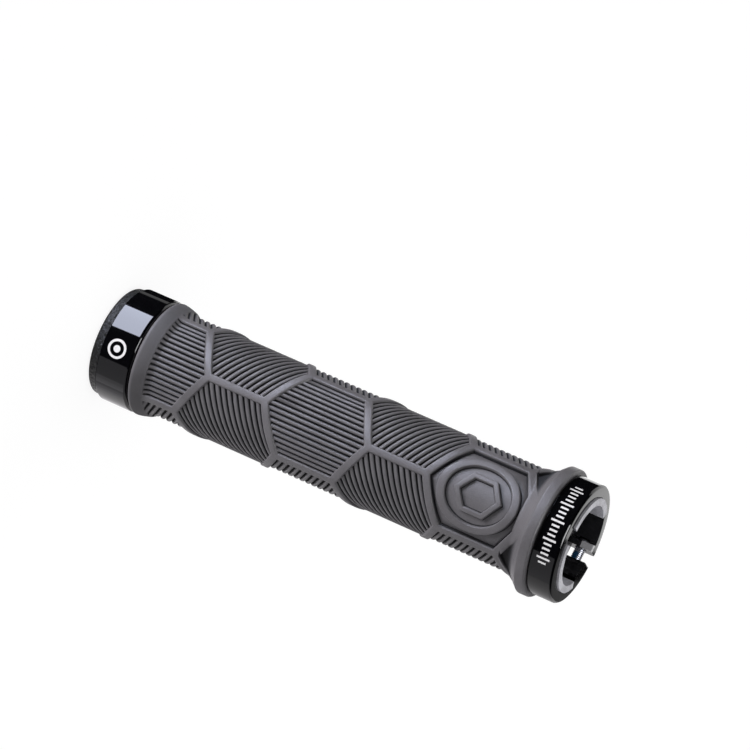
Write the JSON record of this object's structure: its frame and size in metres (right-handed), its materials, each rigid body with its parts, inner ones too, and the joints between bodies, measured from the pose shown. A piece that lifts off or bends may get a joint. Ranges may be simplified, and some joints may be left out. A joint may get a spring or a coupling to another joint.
{
  "type": "handlebar grip",
  "caption": "Ribbed rubber handlebar grip with raised honeycomb bands, a split clamp ring at each end and a flat round end plug.",
  "frame": {"origin": "centre of the end plug's flat face, on which the grip stands", "axes": "+Z along the grip from the end plug to the open inboard end; the badge cell of the sleeve faces -Y"},
  "size_m": [0.0356, 0.0356, 0.1408],
  "materials": {
    "rubber": "matte dark grey moulded rubber",
    "core_plastic": "light grey hard plastic, satin",
    "ring_black": "black anodised, glossy",
    "bolt_steel": "plated steel, bright",
    "plug_plastic": "black plastic, fine matte texture"
  },
  "bodies": {
    "root": {"rubber_sleeve": "rubber", "core_tube": "core_plastic", "outer_clamp_ring": "ring_black", "inner_clamp_ring": "ring_black", "outer_clamp_bolt": "bolt_steel", "inner_clamp_bolt": "bolt_steel", "end_plug": "plug_plastic"}
  },
  "joints": []
}
